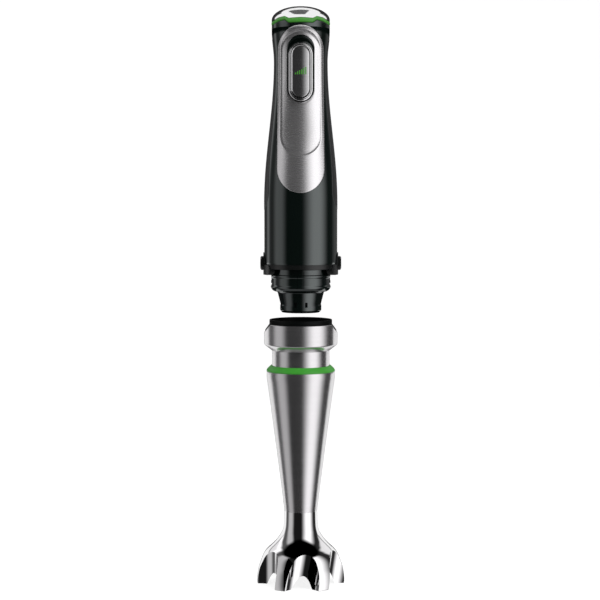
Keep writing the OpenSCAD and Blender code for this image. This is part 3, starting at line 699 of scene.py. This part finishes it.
# ---- lower tube, wiper ring ----
wiper = lathe("wiper", rounded([
    (23.2, 170.95), (27.35, 170.95), (27.35, 171.9), (26.6, 173.1), (24.0, 175.6), (23.2, 175.6)], 0.35))
# The wiper's material glows: painted light.
finish_piece(wiper, GREEN_RUBBER, "bell_tube", "green_rubber", "wiper_ring")
heights = [SEAM_Z + SEAM_GAP + (TUBE_FULL_Z - SEAM_Z) * i / 60 for i in range(61)]
line = [(tube_radius(z), z) for z in heights if z < TUBE_FULL_Z - 0.5]
line += [(TUBE_R, TUBE_FULL_Z), (TUBE_R, 170.55), (TUBE_R - 0.15, 170.88), (TUBE_R - TUBE_WALL, 170.88)]
line += [(r - TUBE_WALL, z) for r, z in reversed(line[:-3])]
tube = lathe("tube_shell", line)
finish_piece(tube, TUBE_STEEL, "bell_tube", "brushed_steel", "lower_tube")

# ---- springs ----
def coil(name, places, start, end, radius, wire, turns):
    """Round wire that winds along its own third axis; each place turns that into the object's axes."""
    sides, steps = 10, 28
    last = turns * steps
    verts, faces = [], []
    for place in places:
        first = len(verts)
        for i in range(last + 1):
            az = 2 * math.pi * i / steps
            along = start + wire / 2 + (end - start - wire) * i / last
            for k in range(sides):
                turn = 2 * math.pi * k / sides
                out = radius + wire / 2 * math.cos(turn)
                up = along + wire / 2 * math.sin(turn)
                verts.append(place(out * math.cos(az), out * math.sin(az), up))
        loops = grid_faces(last + 1, sides, False, True)
        loops += [tuple(range(sides)), tuple(range(last * sides, (last + 1) * sides))]
        faces += [tuple(first + v for v in face) for face in loops]
    return make(name, verts, faces, 60)


def along_x(u, v, w):
    return (w, u, v + RELEASE_Z)


def along_z(u, v, w):
    return (u, v, w)


def along_y(z):
    def place(u, v, w):
        return (u, w, v + z)
    return place


def spring(node, body, places, start, end, radius, wire, turns, axis, held):
    """A coiled spring that stands for its CAD node."""
    ob = coil(node + "_coil", places, start, end, radius, wire, turns)
    finish_piece(ob, SPRING, body, "spring_steel", node)
    anchor = tuple(held * MM * part for part in axis)
    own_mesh(ob)
    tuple(axis)


X_AXIS, Y_AXIS, Z_AXIS = (1, 0, 0), (0, 1, 0), (0, 0, 1)
spring("plunge_spring", "shaft_collar", [along_z], 116.02, 167.98, 9, 1.4, 7,
       Z_AXIS, 167.98)
spring("safety_spring", "motor_unit", [along_z], 443.62, 453.58, 3.2, 0.6, 5,
       Z_AXIS, 443.62)
spring("button_springs", "motor_unit", [along_y(393), along_y(421)], -13.18, -3.02, 3, 0.6, 5,
       Y_AXIS, -3.02)
for side, start, end, held in (("left", -24.28, -15.52, -15.52), ("right", 15.52, 24.28, 15.52)):
    spring("release_spring_" + side, "motor_unit", [along_x], start, end, 2.5, 0.5, 5,
           X_AXIS, held)

# ---- bell ----
bell_line = [(THROAT_R, SEAM_Z), (13.6, 47.6), (14.4, 43.2), (16.2, 39.3), (19.2, 35), (22.6, 31.4),
             (25.9, 28.4), (28.3, 25.8), (30.2, 22.6), (32.1, 17.6), (33.7, 13), (34.6, 8), (35.0, 4),
             (35.0, 1)]


def spline(pts, n):
    """A smooth line through the points."""
    out = []
    for i in range(len(pts) - 1):
        p0, p1 = Vector(pts[max(0, i - 1)]), Vector(pts[i])
        p2, p3 = Vector(pts[i + 1]), Vector(pts[min(len(pts) - 1, i + 2)])
        for k in range(n):
            t = k / n
            q = 0.5 * (2 * p1 + (p2 - p0) * t + (2 * p0 - 5 * p1 + 4 * p2 - p3) * t * t
                       + (3 * p1 - p0 - 3 * p2 + p3) * t ** 3)
            out.append((q.x, q.y))
    out.append(pts[-1])
    return out


inside = [(27.6, 0), (26, 6), (24.4, 12), (22.4, 20), (20, 26), (16.5, 31), (13, 36), (11.5, 40)]
profile = spline(bell_line, 7) + [(34.9, 0.35), (34.4, 0.0), (28.0, 0.0), (27.65, 0.3)]
profile += spline(inside, 4)[1:]
profile += [(8.02, 40), (8.02, 45.5), (10.52, 45.5), (10.52, 62.9), (12.05, 62.9), (12.05, SEAM_Z)]
bell = lathe("bell_body", profile, 360)
SCALLOPS, SCALLOP_SIDES = 6, 160
outline = []
for k in range(SCALLOP_SIDES):
    a = 2 * math.pi * k / SCALLOP_SIDES
    outline.append((SCALLOP_R * math.cos(a), SCALLOP_R * math.sin(a)))
for i in range(SCALLOPS):
    place = Matrix.Rotation(math.radians(BELL_TURN + 360 / SCALLOPS * i), 4, "Z")
    place = place @ Matrix.Translation((0, -SCALLOP_AT, 0))
    place = place @ Matrix.Rotation(math.radians(SCALLOP_LEAN), 4, "Y")
    place = place @ Matrix.Rotation(math.radians(SCALLOP_OUT), 4, "X")
    ends = [[tuple(place @ Vector((x, y, z))) for x, y in outline] for z in (-12, 52)]
    boolean(bell, prism("cut_scallop", *ends))
finish_piece(bell, MIRROR, "bell_tube", "polished_steel", "bell")


# ---- stage: floor, light, camera ----
def glow_material(name, value):
    """A material that only gives off white light, with its nodes."""
    mat = bpy.data.materials.new(name)
    mat.use_nodes = True
    tree = mat.node_tree
    tree.nodes.clear()
    out = tree.nodes.new("ShaderNodeOutputMaterial")
    glow = tree.nodes.new("ShaderNodeEmission")
    glow.inputs["Color"].default_value = (1, 1, 1, 1)
    glow.inputs["Strength"].default_value = value
    tree.links.new(glow.outputs[0], out.inputs["Surface"])
    mat.cycles.emission_sampling = "NONE"
    return mat, tree, glow, out


def backdrop():
    """The pale floor and the wall that curves up from it and closes overhead."""
    line = [(0.0, 0.0), (400, 0), (900, 0), (1500, 0), (1800, 60), (2050, 240), (2200, 520), (2250, 900),
            (2250, 2200), (2100, 2900), (1500, 3500), (700, 3800), (0.0, 3850)]
    sides, under = 96, 0.15
    verts = []
    for r, z in line:
        for j in range(sides):
            a = 2 * math.pi * j / sides
            verts.append((r * math.cos(a), r * math.sin(a), z - under))
    ob = make("studio_floor", verts, grid_faces(len(line), sides, False, True), 60)
    mat, tree, glow, out = glow_material("pale_floor", 0.82)
    grey = tree.nodes.new("ShaderNodeBsdfDiffuse")
    grey.inputs["Color"].default_value = (0.34, 0.34, 0.34, 1)
    add = tree.nodes.new("ShaderNodeAddShader")
    tree.links.new(glow.outputs[0], add.inputs[0])
    tree.links.new(grey.outputs[0], add.inputs[1])
    tree.links.new(add.outputs[0], out.inputs["Surface"])
    ob.data.materials.append(mat)
    ob.visible_glossy = False
    hide_from_light(ob)


def hide_from_light(ob):
    """Keeps a stage object out of diffuse light, shadows and transmission."""
    ob.visible_diffuse = False
    ob.visible_shadow = False
    ob.visible_transmission = False


backdrop()

world = bpy.data.worlds.new("studio")
bpy.context.scene.world = world
world.use_nodes = True
sky_tree = world.node_tree
sky_tree.nodes.clear()
sky_out = sky_tree.nodes.new("ShaderNodeOutputWorld")
background = sky_tree.nodes.new("ShaderNodeBackground")
background.inputs["Color"].default_value = (1.0, 0.99, 1.0, 1)
direction = sky_tree.nodes.new("ShaderNodeTexCoord")
parts = sky_tree.nodes.new("ShaderNodeSeparateXYZ")
sky_tree.links.new(direction.outputs["Generated"], parts.inputs[0])


def sky_math(operation, *values):
    """A math node of the studio's sky; each value is a number or another node's output."""
    node = sky_tree.nodes.new("ShaderNodeMath")
    node.operation = operation
    for k, value in enumerate(values):
        if isinstance(value, (int, float)):
            node.inputs[k].default_value = value
        else:
            sky_tree.links.new(value, node.inputs[k])
    return node.outputs[0]


forward = sky_math("MULTIPLY", parts.outputs["Y"], -1.0)
azimuth = sky_math("MULTIPLY_ADD", sky_math("ARCTAN2", parts.outputs["X"], forward), 1 / (2 * math.pi), 0.5)


def sky_strips(strips):
    """Brightness round the drive axis, from pairs: degrees from the front towards the right, value."""
    ramp = sky_tree.nodes.new("ShaderNodeValToRGB")
    ramp.color_ramp.interpolation = "EASE"
    stops = ramp.color_ramp.elements
    stops.remove(stops[-1])
    for i, (az, value) in enumerate(strips):
        stop = stops[0] if i == 0 else stops.new((az + 180) / 360)
        stop.position = (az + 180) / 360
        stop.color = (value, value, value, 1)
    sky_tree.links.new(azimuth, ramp.inputs["Fac"])
    return ramp.outputs["Color"]


def sky_step(start, end):
    """Goes smoothly from 0 to 1 between two sines of elevation."""
    node = sky_tree.nodes.new("ShaderNodeMapRange")
    node.interpolation_type = "SMOOTHSTEP"
    node.inputs["From Min"].default_value = start
    node.inputs["From Max"].default_value = end
    sky_tree.links.new(parts.outputs["Z"], node.inputs["Value"])
    return node.outputs["Result"]


# The studio round the blender: its strips of light and shade, and what the rear adds higher up
LOW = [(-180, 0.4), (-150, 0.06), (-138, 0.1), (-125, 0.62), (-110, 0.1), (-101, 0.1), (-80, 0.56),
       (-66, 0.54), (-42, 0.01), (2, 0.01), (45, 1.32), (58, 1.32), (98, 0.02), (114, 0.03), (125, 0.15),
       (140, 0.2), (155, 0.1), (180, 0.4)]
REAR = [(-180, 0.45), (-150, 0.75), (-125, 0.75), (-112, 0), (112, 0), (125, 0.75), (150, 0.75), (180, 0.45)]
FLOOR_GLOW = 0.3
high_part = sky_math("MULTIPLY", sky_strips(REAR), sky_step(0.28, 0.42))
sky = sky_math("ADD", sky_strips(LOW), high_part)
sky = sky_math("MULTIPLY", sky, sky_step(0.86, 0.76))
below = sky_math("MULTIPLY", sky_step(-0.7, -0.84), FLOOR_GLOW)
sky = sky_math("ADD", sky_math("MULTIPLY", sky, sky_step(-0.84, -0.7)), below)
sky_tree.links.new(sky, background.inputs["Strength"])
sky_tree.links.new(background.outputs[0], sky_out.inputs["Surface"])


def glow_card(ob, value):
    """Makes a card of an object: a light or dark surface that is seen only in reflections."""
    ob.data.materials.append(glow_material(ob.name, value)[0])
    ob.visible_camera = False
    hide_from_light(ob)


def arc_card(name, az0, az1, edges, steps, value):
    """A card along an arc round the drive axis, between two edges of (radius, height)."""
    verts = []
    for r, z in edges:
        for j in range(steps + 1):
            a = math.radians(az0 + (az1 - az0) * j / steps)
            verts.append((r * math.sin(a), -r * math.cos(a), z))
    glow_card(make(name, verts, grid_faces(2, steps + 1, False, False)), value)


def card(name, az0, az1, z0, z1, radius, value):
    """An upright card, curved round the drive axis."""
    arc_card(name, az0, az1, ((radius, z0), (radius, z1)), 12, value)


card("card_rear_left", -160, -120, -700, 188, 500, 1.0)
card("card_rear_right", 120, 160, -700, 188, 500, 1.0)

# A small bright tent over the cap, dark at its back, with a grey strip in its roof and a dark floor
card("card_tent", -110, 110, 452, 530, 75, 0.95)
card("card_tent_rear", 110, 250, 452, 522, 75, 0.03)
arc_card("card_tent_floor", 0, 360, ((25, 442), (112, 442)), 48, 0.0)
for label, x0, x1, y0, y1, value in (("left", -75, -38, -75, 75, 0.95), ("right", 24, 75, -75, 75, 0.95),
                                     ("back", -38, 24, 25, 75, 0.95), ("middle", -38, 24, -75, 25, 0.12)):
    top_card = [(x0, y0, 530), (x1, y0, 530), (x1, y1, 530), (x0, y1, 530)]
    glow_card(make("card_top_" + label, top_card, [(0, 1, 2, 3)]), value)
# Dark cards: one behind the nose, and one beside the front of the bell
card("card_nose_flag", 95, 265, 206, 230, 60, 0.02)
flag = [(-13.5, -30, -5), (-13.5, -75, -5), (-13.5, -75, 32), (-13.5, -30, 32)]
glow_card(make("card_flag", flag, [(0, 1, 2, 3)]), 0.0)


def softbox(name, place, size, power):
    """A round area light, in metres and watts, that faces the blender."""
    aim = (0, 0, 0.2)
    data = bpy.data.lights.new(name, "AREA")
    data.shape = "DISK"
    data.size = size
    data.energy = power
    ob = bpy.data.objects.new(name, data)
    ob.location = place
    ob.rotation_euler = (Vector(aim) - Vector(place)).to_track_quat("-Z", "Y").to_euler()
    ob.visible_glossy = False
    bpy.context.scene.collection.objects.link(ob)


softbox("key", (0.9, -1.0, 1.7), 1.2, 18)
softbox("fill", (-1.2, -0.9, 1.1), 1.2, 9)
softbox("top", (0, 0.1, 2.0), 0.8, 9)

CAMERA_AT, CAMERA_DOWN, LENS, SENSOR = (-0.0006, -1.3, 0.314), 3.8, 98.1, 36
camera = bpy.data.cameras.new("camera")
camera.lens = LENS
camera.sensor_width = SENSOR
camera_ob = bpy.data.objects.new("camera", camera)
camera_ob.location = CAMERA_AT
camera_ob.rotation_euler = (math.radians(90 - CAMERA_DOWN), 0, 0)
bpy.context.scene.collection.objects.link(camera_ob)
bpy.context.scene.camera = camera_ob
bpy.context.scene.view_settings.view_transform = "Standard"
